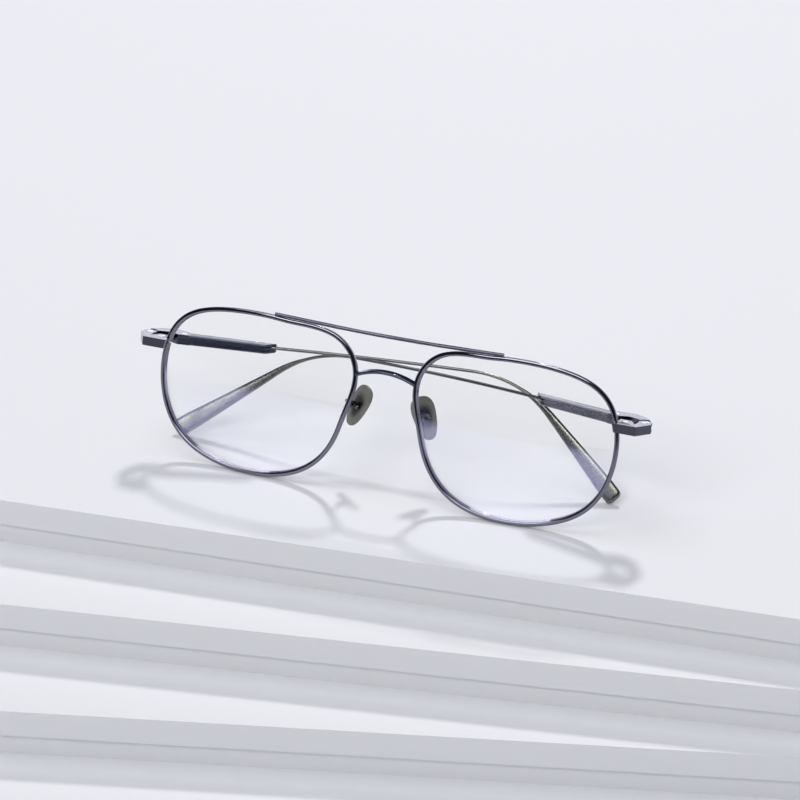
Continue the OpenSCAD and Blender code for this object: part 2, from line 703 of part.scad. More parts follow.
function arm_ring(t) =
  let (
    d = unit(bezier(arm_ctrl, t + 0.01) - bezier(arm_ctrl, t - 0.01)),
    side = unit(cross(d, [0, 0, 1])),
    up = cross(side, d))
  [for (k = [0:arm_sides - 1]) let (q = 360 * k / arm_sides)
    bezier(arm_ctrl, t) + arm_r * cos(q) * side + arm_r * sin(q) * up];
module pad_arm() {
  skin([for (i = [0:arm_rings]) arm_ring(i / arm_rings)], arm_root, arm_end);
  pad_place()
    difference() {
      translate([-box_half, -box_long / 2, lug_z - lug_r])
        cube([2 * box_half, box_long, box_top - lug_z + lug_r]);
      translate([-lug_w / 2 - cheek_gap, -box_long, lug_z - 2 * lug_r])
        cube([lug_w + 2 * cheek_gap, 2 * box_long, box_floor - lug_z + 2 * lug_r]);
      translate([0, 0, lug_z])
        rotate([0, 90, 0])
          cylinder(r = pad_pin_r + thread_gap, h = 4, center = true);
    }
}

// Reach of the whole object once it leans back and the temples are folded
function folded(p) = [pin[0], pin[1], hinge_z] + turn_z(p, 90 - fold_angle);
rim_reach = [for (ring = rim_rings, p = ring) leant(p)];
wire_reach = [
  for (side = [-1, 1], ring = wire_rings(side), p = ring) leant(folded(p))];
lowest_z = min([for (p = concat(rim_reach, wire_reach)) p[2]]);
middle_y = (min([for (p = rim_reach) p[1]]) + max([for (p = wire_reach) p[1]])) / 2;

module temple_place(side) {
  place(side)
    fold()
      children();
}

color(titanium) place(-1) rim_wire();  // rim_left
color(titanium) place(1) rim_wire();  // rim_right
color(clear) place(-1) lens_body();  // lens_left
color(clear) place(1) lens_body();  // lens_right
color(titanium) stand() brow_rod();  // brow_bar
color(gunmetal) stand() bridge_arch();  // bridge
color(titanium) place(-1) endpiece_block();  // endpiece_left
color(titanium) place(1) endpiece_block();  // endpiece_right
color(gunmetal) place(-1) rim_lock_block();  // rim_lock_left
color(gunmetal) place(1) rim_lock_block();  // rim_lock_right
color(screw_grey) place(-1) rim_screw();  // rim_screw_left
color(screw_grey) place(1) rim_screw();  // rim_screw_right
color(screw_grey) place(-1) hinge_screw();  // hinge_screw_left
color(screw_grey) place(1) hinge_screw();  // hinge_screw_right
color(screw_grey) place(-1) hinge_washers();  // hinge_washers_left
color(screw_grey) place(1) hinge_washers();  // hinge_washers_right
color(titanium) temple_place(-1) knuckle();  // knuckle_left
color(titanium) temple_place(1) knuckle();  // knuckle_right
color(screw_grey) temple_place(-1) knuckle_screw();  // knuckle_screw_left
color(screw_grey) temple_place(1) knuckle_screw();  // knuckle_screw_right
color(gunmetal) temple_place(-1) temple_block(slope_left);  // temple_block_left
color(gunmetal) temple_place(1) temple_block(slope_right);  // temple_block_right
color(olive) temple_place(-1) temple_wire(-1);  // temple_wire_left
color(olive) temple_place(1) temple_wire(1);  // temple_wire_right
color(screw_grey) temple_place(-1) clamp_screws(slope_left);  // clamp_screws_left
color(screw_grey) temple_place(1) clamp_screws(slope_right);  // clamp_screws_right
color(olive) place(-1) pad_arm();  // pad_arm_left
color(olive) place(1) pad_arm();  // pad_arm_right
color(screw_grey) place(-1) pad_place() pad_screw();  // pad_screw_left
color(screw_grey) place(1) pad_place() pad_screw();  // pad_screw_right
color(olive) place(-1) pad_place() nose_pad();  // nose_pad_left
color(olive) place(1) pad_place() nose_pad();  // nose_pad_right
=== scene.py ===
# Metal eyeglasses with a double bridge, folded, standing on their rims on a pale floor.
import json
import math

import bmesh
import bpy
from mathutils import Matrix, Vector

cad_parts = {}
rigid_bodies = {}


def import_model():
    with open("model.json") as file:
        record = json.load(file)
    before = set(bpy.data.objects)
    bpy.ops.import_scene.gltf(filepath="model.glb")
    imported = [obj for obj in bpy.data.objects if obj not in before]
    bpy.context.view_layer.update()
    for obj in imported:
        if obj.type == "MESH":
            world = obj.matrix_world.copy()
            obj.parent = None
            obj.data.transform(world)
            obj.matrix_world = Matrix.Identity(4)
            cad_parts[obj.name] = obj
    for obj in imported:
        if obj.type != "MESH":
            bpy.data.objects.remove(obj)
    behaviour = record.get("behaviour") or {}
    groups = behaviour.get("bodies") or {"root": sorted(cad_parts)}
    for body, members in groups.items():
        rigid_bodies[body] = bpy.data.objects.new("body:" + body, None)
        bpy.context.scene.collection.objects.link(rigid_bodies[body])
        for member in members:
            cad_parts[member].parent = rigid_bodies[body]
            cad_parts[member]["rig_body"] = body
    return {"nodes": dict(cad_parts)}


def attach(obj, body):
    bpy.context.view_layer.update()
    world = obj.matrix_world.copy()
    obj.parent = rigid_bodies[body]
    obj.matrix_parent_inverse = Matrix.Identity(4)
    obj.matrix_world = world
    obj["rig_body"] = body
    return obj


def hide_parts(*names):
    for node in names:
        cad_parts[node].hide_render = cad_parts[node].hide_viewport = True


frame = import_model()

nodes = frame["nodes"]
mm = 0.001
sideSign = {"left": -1, "right": 1}
for spare in [o for o in bpy.data.objects if o.name in ("Cube", "Light", "Camera")]:
    bpy.data.objects.remove(spare)
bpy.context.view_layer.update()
print("frame loaded:", len(nodes), "nodes")

# Camera: the photograph's angle, a long lens from above and to the right; place in metres, turn in degrees
camera = {
    "place": (0.3349532, -0.8455992, 0.5114838), "turn": (61.6964, 0.0, 21.5291),
    "lens": 180, "sensor": 36, "nearest": 0.05, "furthest": 30}


def makeCamera():
    data = bpy.data.cameras.new("camera")
    data.lens = camera["lens"]
    data.sensor_width = camera["sensor"]
    data.clip_start = camera["nearest"]
    data.clip_end = camera["furthest"]
    data.dof.use_dof = False
    seen = bpy.data.objects.new("camera", data)
    seen.location = camera["place"]
    seen.rotation_euler = [math.radians(a) for a in camera["turn"]]
    bpy.context.scene.collection.objects.link(seen)
    bpy.context.scene.camera = seen


makeCamera()

# How the front stands: degrees of lean, then the shift onto the floor in mm
stance = {"lean": 13.8, "middleY": 10.6059, "lowestZ": -21.9692}


def toWorld(p, side=1):
    # From the upright front, in mm, to the leaning one, in metres; side -1 mirrors the point to the left
    lean = math.radians(stance["lean"])
    y = p[1] * math.cos(lean) + p[2] * math.sin(lean) - stance["middleY"]
    z = p[2] * math.cos(lean) - p[1] * math.sin(lean) - stance["lowestZ"]
    return Vector((side * p[0], y, z)) * mm


# The front's surface, in mm and degrees. Each rim is a closed cubic spline about its lens centre, and the
# points that steer it are scaled until it is as wide and as high as the eye
front = {
    "eyeWidth": 54.1,
    "eyeHeight": 42.346,
    "centreDistance": 72,
    "baseRadius": 131,
    "wrap": 2.3,
    "hingeHeight": 8.4,
    "outline": [
        (28.5, 7.7), (19.8, 20.1), (-3.2, 21.2), (-7.8, 20.1), (-22.5, 20.4),
        (-29.4, 10), (-25.1, -1.9), (-23.3, -11.2), (-11.7, -23.4), (23.8, -20.2),
    ],
}
outlineCount = len(front["outline"])
wrapSlope = math.tan(math.radians(front["wrap"]))
# How finely the outline is measured, and the short step along it that gives its direction
samplesPerPoint = 20
slopeOver = 0.02


def rawOutline(x):
    i = math.floor(x)
    f = x - i
    weights = (
        (1 - f) ** 3 / 6,
        (3 * f ** 3 - 6 * f ** 2 + 4) / 6,
        (-3 * f ** 3 + 3 * f ** 2 + 3 * f + 1) / 6,
        f ** 3 / 6,
    )
    near = [front["outline"][(i + k - 1) % outlineCount] for k in range(4)]
    return [sum(w * p[axis] for w, p in zip(weights, near)) for axis in (0, 1)]


rawPoints = [rawOutline(k / samplesPerPoint) for k in range(outlineCount * samplesPerPoint)]
stretch = [
    size / (max(p[axis] for p in rawPoints) - min(p[axis] for p in rawPoints))
    for axis, size in enumerate((front["eyeWidth"], front["eyeHeight"]))
]


def outlineAt(x):
    a, b = rawOutline(x)
    return a * stretch[0], b * stretch[1]


def onFront(a, b):
    depth = (a * a + b * b) / (2 * front["baseRadius"]) + wrapSlope * a
    return Vector((front["centreDistance"] / 2 + a, depth, b))


def forwardAt(a, b):
    return Vector((a / front["baseRadius"] + wrapSlope, -1, b / front["baseRadius"])).normalized()


def rimPoint(x):
    return onFront(*outlineAt(x))


def rimOffset(x, out, ahead):
    # A point beside the rim's line: out from the lens, and ahead of the front's surface
    along = (rimPoint(x + slopeOver) - rimPoint(x - slopeOver)).normalized()
    forward = forwardAt(*outlineAt(x))
    return rimPoint(x) + out * along.cross(forward).normalized() + ahead * forward


def outlineParam(height, between, rising, halvings=24):
    # Where the outline passes a height, between two places on it
    low, high = between
    for _ in range(halvings):
        middle = (low + high) / 2
        if (outlineAt(middle)[1] < height) == rising:
            low = middle
        else:
            high = middle
    return (low + high) / 2


# Meshes: skins over rings, outlines pushed up into blocks, and the solids with their edges rounded; the
# rounding takes every edge sharper than "from" degrees, once points within "weld" mm are one
rounding = {"from": 32, "segments": 2, "weld": 0.002, "flat": 1.2}


def finishMesh(name, mesh, sharpAngle=38):
    clean = bmesh.new()
    clean.from_mesh(mesh)
    bmesh.ops.recalc_face_normals(clean, faces=clean.faces)
    clean.to_mesh(mesh)
    clean.free()
    mesh.shade_smooth()
    mesh.set_sharp_from_angle(angle=math.radians(sharpAngle))
    piece = bpy.data.objects.new(name, mesh)
    bpy.context.scene.collection.objects.link(piece)
    return piece


def tubeMesh(name, rings, poles):
    # A skin over rings of points; its map runs in mm, first along the tube and then round it
    mesh = bpy.data.meshes.new(name)
    count = len(rings[0])
    points = [p for ring in rings for p in ring] + list(poles)
    run = [0.0]
    for before, after in zip(rings, rings[1:]):
        run.append(run[-1] + (after[0] - before[0]).length / mm)
    middle = rings[len(rings) // 2]
    step = sum((middle[k] - middle[k - 1]).length for k in range(count)) / mm / count
    faces = []
    spots = []
    for j in range(len(rings) - 1):
        for k in range(count):
            n = (k + 1) % count
            faces.append((j * count + k, j * count + n, (j + 1) * count + n, (j + 1) * count + k))
            spots += [(run[j], k * step), (run[j], (k + 1) * step)]
            spots += [(run[j + 1], (k + 1) * step), (run[j + 1], k * step)]
    for pole, first, at in ((0, 0, run[0]), (1, (len(rings) - 1) * count, run[-1])):
        for k in range(count):
            faces.append((len(rings) * count + pole, first + k, first + (k + 1) % count))
            spots += [(at, k * step), (at, k * step), (at, (k + 1) * step)]
    mesh.from_pydata(points, [], faces)
    layer = mesh.uv_layers.new(name="along")
    layer.data.foreach_set("uv", [value for spot in spots for value in spot])
    return mesh


def prismMesh(name, outline, low, high, place):
    # The outline pushed from low to high; place turns each point of it into one in metres
    mesh = bpy.data.meshes.new(name)
    count = len(outline)
    points = [place(u, w, v) for w in (low, high) for u, v in outline]
    walls = [(k, (k + 1) % count, count + (k + 1) % count, count + k) for k in range(count)]
    ends = [tuple(range(count)), tuple(range(count, 2 * count))]
    mesh.from_pydata(points, [], walls + ends)
    return mesh


def joinMeshes(name, meshes):
    whole = bmesh.new()
    for mesh in meshes:
        whole.from_mesh(mesh)
    joined = bpy.data.meshes.new(name)
    whole.to_mesh(joined)
    whole.free()
    return joined


def softenEdges(piece, width):
    bevel = piece.modifiers.new("edges", "BEVEL")
    bevel.width = width * mm
    bevel.segments = rounding["segments"]
    bevel.limit_method = "ANGLE"
    bevel.angle_limit = math.radians(rounding["from"])
    bevel.harden_normals = True


def standFor(piece, node, slotName):
    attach(piece, nodes[node]["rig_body"])
    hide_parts(node)


def roundedCopy(node, width):
    # The solid itself, with the small edge radius that tumbling leaves on it
    mesh = nodes[node].data.copy()
    work = bmesh.new()
    work.from_mesh(mesh)
    bmesh.ops.remove_doubles(work, verts=work.verts, dist=rounding["weld"] * mm)
    flat = math.radians(rounding["flat"])
    bmesh.ops.dissolve_limit(work, angle_limit=flat, verts=work.verts, edges=work.edges)
    fresh = bpy.data.meshes.new(node + ".rounded")
    work.to_mesh(fresh)
    work.free()
    piece = finishMesh(node + ".rounded", fresh, rounding["from"])
    softenEdges(piece, width)
    return piece


# Materials: colours are written as screen colours, and turned to linear ones here
def srgb(code):
    channels = [int(code[i:i + 2], 16) / 255 for i in (1, 3, 5)]
    return tuple(c / 12.92 if c <= 0.04045 else ((c + 0.055) / 1.055) ** 2.4 for c in channels) + (1,)


def addNode(tree, kind, settings, links=None):
    made = tree.nodes.new(kind)
    for key, value in settings.items():
        if isinstance(key, int) or key in made.inputs:
            made.inputs[key].default_value = value
        else:
            setattr(made, key, value)
    for key, source in (links or {}).items():
        tree.links.new(source, made.inputs[key])
    return made


def newMaterial(name):
    made = bpy.data.materials.new(name)
    made.use_nodes = True
    made.node_tree.nodes.clear()
    return made, made.node_tree


# How each metal's surface is drawn, in mm: grain lines, and soft clouds in the plating. Real brushing lines
# are about 0.03 mm apart, too fine to show, so the looks below draw their grain several times as wide
metalDrawing = {
    "grainDetail": 3.0, "grainRough": 0.65, "height": 0.02,
    "cloudLong": 4, "cloudWide": 2, "cloudDetail": 2.0}


def brushedMetal(name, look):
    # Grain: noise drawn out along the brushing; it breaks up the gloss and lifts a faint relief. It follows
    # the wire on pieces that are mapped along it, and the object's width on the others
    made, tree = newMaterial(name)
    if look["mapped"]:
        spots = addNode(tree, "ShaderNodeUVMap", {"uv_map": "along"}).outputs["UV"]
        perUnit = 1.0
    else:
        spots = addNode(tree, "ShaderNodeTexCoord", {}).outputs["Object"]
        perUnit = 1 / mm
    along, across = perUnit / look["grainLength"], perUnit / look["grainWidth"]
    grainSpots = addNode(tree, "ShaderNodeMapping", {"Scale": (along, across, across)}, {"Vector": spots})
    grain = addNode(
        tree, "ShaderNodeTexNoise",
        {"Scale": 1.0, "Detail": metalDrawing["grainDetail"], "Roughness": metalDrawing["grainRough"]},
        {"Vector": grainSpots.outputs[0]})
    cloudLong, cloudWide = perUnit / metalDrawing["cloudLong"], perUnit / metalDrawing["cloudWide"]
    cloudSpots = addNode(
        tree, "ShaderNodeMapping", {"Scale": (cloudLong, cloudWide, cloudWide)}, {"Vector": spots})
    cloud = addNode(
        tree, "ShaderNodeTexNoise", {"Scale": 1.0, "Detail": metalDrawing["cloudDetail"]},
        {"Vector": cloudSpots.outputs[0]})
    tint = addNode(
        tree, "ShaderNodeMix",
        {"data_type": "RGBA", 6: srgb(look["colour"]), 7: srgb(look["colourTwo"])},
        {0: cloud.outputs["Fac"]})
    gloss = addNode(
        tree, "ShaderNodeMapRange",
        {"To Min": look["roughness"] - look["spread"], "To Max": look["roughness"] + look["spread"]},
        {"Value": grain.outputs["Fac"]})
    relief = addNode(
        tree, "ShaderNodeBump",
        {"Strength": look["relief"], "Distance": metalDrawing["height"] * mm},
        {"Height": grain.outputs["Fac"]})
    surface = addNode(
        tree, "ShaderNodeBsdfPrincipled", {"Metallic": 1.0},
        {"Base Color": tint.outputs[2], "Roughness": gloss.outputs[0], "Normal": relief.outputs[0]})
    addNode(tree, "ShaderNodeOutputMaterial", {}, {"Surface": surface.outputs[0]})
    return made


# Ion-plated titanium wire, drawn and then brushed fine along its length: purple grey, glossy, faint lines
rimLook = {
    "colour": "#83828F", "colourTwo": "#757480", "roughness": 0.11, "spread": 0.03, "relief": 0.1,
    "grainWidth": 0.22, "grainLength": 7.0, "mapped": True}
# The same plating on the milled and tumbled blocks: darker, with a softer gloss
blockLook = {
    "colour": "#5E5D6A", "colourTwo": "#52515D", "roughness": 0.16, "spread": 0.06, "relief": 0.2,
    "grainWidth": 0.2, "grainLength": 3.0, "mapped": False}
# The bridge strip is polished before plating: bluer, almost without grain, its edges bright
bridgeLook = {
    "colour": "#5A5C70", "colourTwo": "#4F5164", "roughness": 0.1, "spread": 0.03, "relief": 0.06,
    "grainWidth": 0.2, "grainLength": 3.0, "mapped": False}
# Temple bars: pickled titanium under a thin plating: paler grey, matt and a little mottled
barLook = {
    "colour": "#83848F", "colourTwo": "#64656F", "roughness": 0.27, "spread": 0.08, "relief": 0.35,
    "grainWidth": 0.25, "grainLength": 2.0, "mapped": False}
# Painted shade: the left bar gets a shaded copy of the same finish, darker and bluer
navyLook = dict(barLook, colour="#545868", colourTwo="#3B3F4E", roughness=0.25)
# Beta titanium wire, drawn through a die and polished: plain grey, with long fine lines
wireLook = {
    "colour": "#6D6F72", "colourTwo": "#5F6163", "roughness": 0.16, "spread": 0.02, "relief": 0.03,
    "grainWidth": 0.2, "grainLength": 9.0, "mapped": True}
# Tips: the same wire pressed flat and blasted, so warmer grey, speckled and duller
tipLook = {
    "colour": "#878782", "colourTwo": "#696965", "roughness": 0.26, "spread": 0.1, "relief": 0.5,
    "grainWidth": 0.22, "grainLength": 0.4, "mapped": True}
# Turned steel screws, tumbled bright
screwLook = {
    "colour": "#C4C5CC", "colourTwo": "#B2B3BB", "roughness": 0.18, "spread": 0.05, "relief": 0.1,
    "grainWidth": 0.15, "grainLength": 0.4, "mapped": False}
# Pad arms and their boxes: the same wire alloy, blackened and glossy
armLook = {
    "colour": "#5C5C5E", "colourTwo": "#3E3E40", "roughness": 0.1, "spread": 0.04, "relief": 0.08,
    "grainWidth": 0.2, "grainLength": 4.0, "mapped": False}
rimTitanium = brushedMetal("platedTitaniumBrushed", rimLook)
blockTitanium = brushedMetal("platedTitaniumTumbled", blockLook)
bridgeTitanium = brushedMetal("platedTitaniumPolished", bridgeLook)
barTitanium = brushedMetal("platedTitaniumMatt", barLook)
navyTitanium = brushedMetal("platedTitaniumShaded", navyLook)
wireTitanium = brushedMetal("betaTitaniumDrawn", wireLook)
tipTitanium = brushedMetal("betaTitaniumBlasted", tipLook)
screwSteel = brushedMetal("turnedSteel", screwLook)
armTitanium = brushedMetal("betaTitaniumBlackened", armLook)

# Nose pads: olive grey silicone. The middle of the lug's side is painted near black: painted shade standing
# for the shadow and reflection of the box and arm on the pad. It fades out from shadeFrom to shadeTo, in mm
# along the skin; cloud, grit and relief are in mm too
padLook = {
    "colour": "#8A8A80", "colourTwo": "#696961", "paintedShade": "#1E1E1D", "shadeFrom": 0.2, "shadeTo": 1.7,
    "roughness": 0.21, "glossier": 0.06, "duller": 0.08, "ior": 1.43, "cloudSize": 3.0, "cloudDetail": 4.0,
    "gritSize": 0.12, "gritDetail": 2.0, "relief": 0.15, "reliefHeight": 0.01}


def mouldedSilicone(name, look):
    made, tree = newMaterial(name)
    spots = addNode(tree, "ShaderNodeTexCoord", {}).outputs["Object"]
    cloud = addNode(
        tree, "ShaderNodeTexNoise",
        {"Scale": 1 / (look["cloudSize"] * mm), "Detail": look["cloudDetail"]}, {"Vector": spots})
    tint = addNode(
        tree, "ShaderNodeMix",
        {"data_type": "RGBA", 6: srgb(look["colour"]), 7: srgb(look["colourTwo"])},
        {0: cloud.outputs["Fac"]})
    around = addNode(tree, "ShaderNodeUVMap", {"uv_map": "along"})
    outward = addNode(tree, "ShaderNodeSeparateXYZ", {}, {0: around.outputs["UV"]})
    clearer = addNode(
        tree, "ShaderNodeMapRange",
        {"interpolation_type": "SMOOTHSTEP", "From Min": look["shadeFrom"], "From Max": look["shadeTo"]},
        {"Value": outward.outputs["X"]})
    # Painted shade: near black round the lug, where the box and arm shade the pad
    overCore = addNode(
        tree, "ShaderNodeMix", {"data_type": "RGBA", 6: srgb(look["paintedShade"])},
        {0: clearer.outputs[0], 7: tint.outputs[2]})
    gloss = addNode(
        tree, "ShaderNodeMapRange",
        {"To Min": look["roughness"] - look["glossier"], "To Max": look["roughness"] + look["duller"]},
        {"Value": cloud.outputs["Fac"]})
    grit = addNode(
        tree, "ShaderNodeTexNoise",
        {"Scale": 1 / (look["gritSize"] * mm), "Detail": look["gritDetail"]}, {"Vector": spots})
    relief = addNode(
        tree, "ShaderNodeBump",
        {"Strength": look["relief"], "Distance": look["reliefHeight"] * mm},
        {"Height": grit.outputs["Fac"]})
    surface = addNode(
        tree, "ShaderNodeBsdfPrincipled", {"IOR": look["ior"]},
        {"Base Color": overCore.outputs[2], "Roughness": gloss.outputs[0], "Normal": relief.outputs[0]})
    addNode(tree, "ShaderNodeOutputMaterial", {}, {"Surface": surface.outputs[0]})
    return made


padSilicone = mouldedSilicone("mouldedSilicone", padLook)

# Lenses: cast resin, polished, with an antireflective coating that gives back blue and violet and lets the
# rest pass. Back, through and shadow are those shares of the light. The reflection itself comes from the
# room,
# but its strength is painted reflection: strong in the lower part of each lens and fading out between from
# and to, heights in mm above the floor, with the light let through a little yellower where the reflection
# is strong
lensLook = {
    "backLow": "#6D6D86", "backHigh": "#1A1A27", "throughLow": "#EDEDE4", "throughHigh": "#FEFEFD",
    "shadow": "#FDFDFD", "from": 20.5, "to": 24}


def coatedResin(name, look):
    made, tree = newMaterial(name)
    spots = addNode(tree, "ShaderNodeTexCoord", {})
    split = addNode(tree, "ShaderNodeSeparateXYZ", {}, {0: spots.outputs["Object"]})
    # Painted reflection: how much the lens gives back, and how yellow the light through it is, follow
    # height
    height = addNode(
        tree, "ShaderNodeMapRange",
        {"interpolation_type": "SMOOTHSTEP", "From Min": look["from"] * mm, "From Max": look["to"] * mm},
        {"Value": split.outputs["Z"]})
    back = addNode(
        tree, "ShaderNodeMix",
        {"data_type": "RGBA", 6: srgb(look["backLow"]), 7: srgb(look["backHigh"])},
        {0: height.outputs[0]})
    through = addNode(
        tree, "ShaderNodeMix",
        {"data_type": "RGBA", 6: srgb(look["throughLow"]), 7: srgb(look["throughHigh"])},
        {0: height.outputs[0]})
    path = addNode(tree, "ShaderNodeLightPath", {})
    shade = addNode(
        tree, "ShaderNodeMix", {"data_type": "RGBA", 7: srgb(look["shadow"])},
        {0: path.outputs["Is Shadow Ray"], 6: through.outputs[2]})
    clear = addNode(tree, "ShaderNodeBsdfTransparent", {}, {"Color": shade.outputs[2]})
    shine = addNode(tree, "ShaderNodeBsdfGlossy", {"Roughness": 0.0}, {"Color": back.outputs[2]})
    both = addNode(tree, "ShaderNodeAddShader", {}, {0: clear.outputs[0], 1: shine.outputs[0]})
    addNode(tree, "ShaderNodeOutputMaterial", {}, {"Surface": both.outputs[0]})
    return made


lensResin = coatedResin("coatedResin", lensLook)
print("materials made")

# Rims: grooved wire round each lens, split at the lock behind the endpiece
rim = {
    "width": 1.25, "depth": 1.7, "chamfer": 0.28, "soft": 0.05, "groove": 0.4, "grooveHalf": 0.47,
    "split": 0.3, "lockBetween": (-0.5, 1), "endShare": 0.3, "rings": 420}
lockParam = outlineParam(front["hingeHeight"], rim["lockBetween"], True)
halfWidth, halfDepth = rim["width"] / 2, rim["depth"] / 2


def rimSection():
    # Corners of the chamfered wire, each softened by two points a little before and after it
    cut, soft, mouth = rim["chamfer"], rim["soft"], rim["grooveHalf"]
    corners = [
        (halfWidth, halfDepth - cut), (halfWidth - cut, halfDepth), (cut - halfWidth, halfDepth),
        (-halfWidth, halfDepth - cut), (-halfWidth, mouth), (rim["groove"] - halfWidth, 0),
        (-halfWidth, -mouth), (-halfWidth, cut - halfDepth), (cut - halfWidth, -halfDepth),
        (halfWidth - cut, -halfDepth), (halfWidth, cut - halfDepth)]
    section = []
    for before, corner, after in zip(corners[-1:] + corners[:-1], corners, corners[1:] + corners[:1]):
        for other in (before, after):
            step = Vector(other) - Vector(corner)
            section.append(tuple(Vector(corner) + step.normalized() * min(soft, step.length / 3)))
    return section


def makeRim(sideName):
    side = sideSign[sideName]
    section = rimSection()
    step = (rimPoint(lockParam + slopeOver / 2) - rimPoint(lockParam - slopeOver / 2)).length / slopeOver
    gap = rim["split"] / 2 / step
    whole = outlineCount - 2 * gap
    params = [lockParam + gap + whole * i / rim["rings"] for i in range(rim["rings"] + 1)]
    rings = [[toWorld(rimOffset(x, o, n), side) for o, n in section] for x in params]
    poles = [toWorld(rimOffset(x, halfWidth * rim["endShare"], 0), side) for x in (params[0], params[-1])]
    name = "rimWire." + sideName
    piece = finishMesh(name, tubeMesh(name, rings, poles))
    piece.data.materials.append(rimTitanium)
    standFor(piece, "rim_" + sideName, "purple_titanium")


# Lenses: bevelled edge in the groove, domed front and hollow back
lens = {
    "thick": 1.5, "edgeThick": 1.0, "gap": 0.04, "sharpAngle": 25, "steps": 240,
    "shares": [0.1, 0.25, 0.4, 0.55, 0.7, 0.82, 0.92]}


def makeLens(sideName):
    side = sideSign[sideName]
    outer = -halfWidth - lens["gap"]
    params = [outlineCount * i / lens["steps"] for i in range(lens["steps"])]

    def domeRing(share, face):
        ring = []
        for x in params:
            edge = rimOffset(x, outer, 0)
            a, b = (edge.x - front["centreDistance"] / 2) * share, edge.z * share
            thick = lens["thick"] + (lens["edgeThick"] - lens["thick"]) * share * share
            ring.append(toWorld(onFront(a, b) - Vector((0, face * thick / 2, 0)), side))
        return ring

    def edgeRing(out, ahead):
        return [toWorld(rimOffset(x, out, ahead), side) for x in params]

    bevelOut = -halfWidth + rim["groove"] - 2 * lens["gap"]
    halfEdge = lens["edgeThick"] / 2
    rings = [domeRing(share, 1) for share in lens["shares"]]
    rings += [edgeRing(outer, halfEdge), edgeRing(bevelOut, 0), edgeRing(outer, -halfEdge)]
    rings += [domeRing(share, -1) for share in reversed(lens["shares"])]
    poles = [toWorld(onFront(0, 0) - Vector((0, face * lens["thick"] / 2, 0)), side) for face in (1, -1)]
    name = "lensResin." + sideName
    piece = finishMesh(name, tubeMesh(name, rings, poles), lens["sharpAngle"])
    piece.data.materials.append(lensResin)
    standFor(piece, "lens_" + sideName, "clear_lens")


for sideName in sideSign:
    makeRim(sideName)
    makeLens(sideName)
print("rims and lenses made")

# Temples: a wire out of the block, straight, then bent down and flattened into the tip; mm and degrees
temple = {
    "foldAngle": 13.1, "pinOut": 6.65, "pinBack": 3.0, "blockLength": 33.4, "boreDeep": 7.4,
    "wireOut": 1.3, "wireToe": 1.6, "wire": 0.85, "length": 137, "bendAt": 86, "bendRadius": 31,
    "bendAngle": {"left": 44.27, "right": 39.75}, "curveLead": 45.5, "tipIn": {"left": 13.7, "right": 21},
    "rise": 0.7, "crossGap": 0.42, "tipHeight": 4.7, "tipThick": 1.5, "tipLength": 38, "tipEven": 3,
    "tipSquare": 1.4, "cap": 1.6, "capPower": 2.6, "capRings": 9, "endBack": 0.02, "sharpAngle": 60,
    "slopeOver": 0.05, "stations": 170, "around": 28}
lockPoint = rimPoint(lockParam)
pin = (lockPoint.x + temple["pinOut"], lockPoint.y + temple["pinBack"])
wireIn = temple["blockLength"] - temple["boreDeep"]
wireRadius = temple["wire"] / 2
toeSlope = math.tan(math.radians(temple["wireToe"]))
foldSine, foldCosine = (f(math.radians(temple["foldAngle"])) for f in (math.sin, math.cos))
# Folded, the wires cross on the object's middle, where the left one passes crossGap above the other
crossAt = pin[0] + (temple["wireOut"] + temple["blockLength"] * toeSlope) * foldSine
crossAt /= foldCosine + toeSlope * foldSine
halfCross = (wireRadius + temple["crossGap"] / 2) / (crossAt - wireIn)
middleSlope = math.tan(math.radians(temple["rise"]))
wireSlope = {name: middleSlope - side * halfCross for name, side in sideSign.items()}


def foldedToFront(p):
    # From the temple's own directions, inward, along and up from its pin, to the front's
    x = pin[0] + p[0] * foldSine - p[1] * foldCosine
    y = pin[1] + p[0] * foldCosine + p[1] * foldSine
    return Vector((x, y, front["hingeHeight"] + p[2]))


def wireAt(s, sideName):
    radius = temple["bendRadius"]
    bendEnd = temple["bendAt"] + radius * math.radians(temple["bendAngle"][sideName])
    if s < temple["bendAt"]:
        run, drop = s, 0
    else:
        a = (min(s, bendEnd) - temple["bendAt"]) / radius
        run = temple["bendAt"] + radius * math.sin(a) + max(0, s - bendEnd) * math.cos(a)
        drop = radius * (1 - math.cos(a)) + max(0, s - bendEnd) * math.sin(a)
    curveFrom = temple["bendAt"] - temple["curveLead"]
    curl = max(0, (s - curveFrom) / (temple["length"] - curveFrom))
    x = temple["wireOut"] - (s - temple["blockLength"]) * toeSlope - temple["tipIn"][sideName] * curl * curl
    return Vector((x, run, (s - wireIn) * wireSlope[sideName] - drop))


def rounded(c, power):
    # A sine or cosine bent towards a square: power 2 gives a circle, more gives a fuller shape
    return math.copysign(abs(c) ** (2 / power), c)


def wireRing(s, sideName):
    step = temple["slopeOver"]
    along = (wireAt(s + step, sideName) - wireAt(s - step, sideName)).normalized()
    across = along.cross(Vector((0, -along.z, along.y))).normalized()
    up = across.cross(along)
    widens = temple["tipLength"] - temple["cap"] - temple["tipEven"]
    share = min(1, max(0, (s - temple["length"] + temple["tipLength"]) / widens))
    close = max(0, (s - temple["length"] + temple["cap"]) / temple["cap"])
    cap = (1 - close ** temple["capPower"]) ** (1 / temple["capPower"])
    high = cap * (wireRadius + (temple["tipHeight"] / 2 - wireRadius) * share)
    thick = cap * (wireRadius + (temple["tipThick"] / 2 - wireRadius) * share)
    power = 2 + temple["tipSquare"] * share
    ring = []
    for k in range(temple["around"]):
        a = 2 * math.pi * (k + 0.5) / temple["around"]
        local = wireAt(s, sideName) + thick * rounded(math.cos(a), power) * across
        local += high * rounded(math.sin(a), power) * up
        ring.append(toWorld(foldedToFront(local), sideSign[sideName]))
    return ring


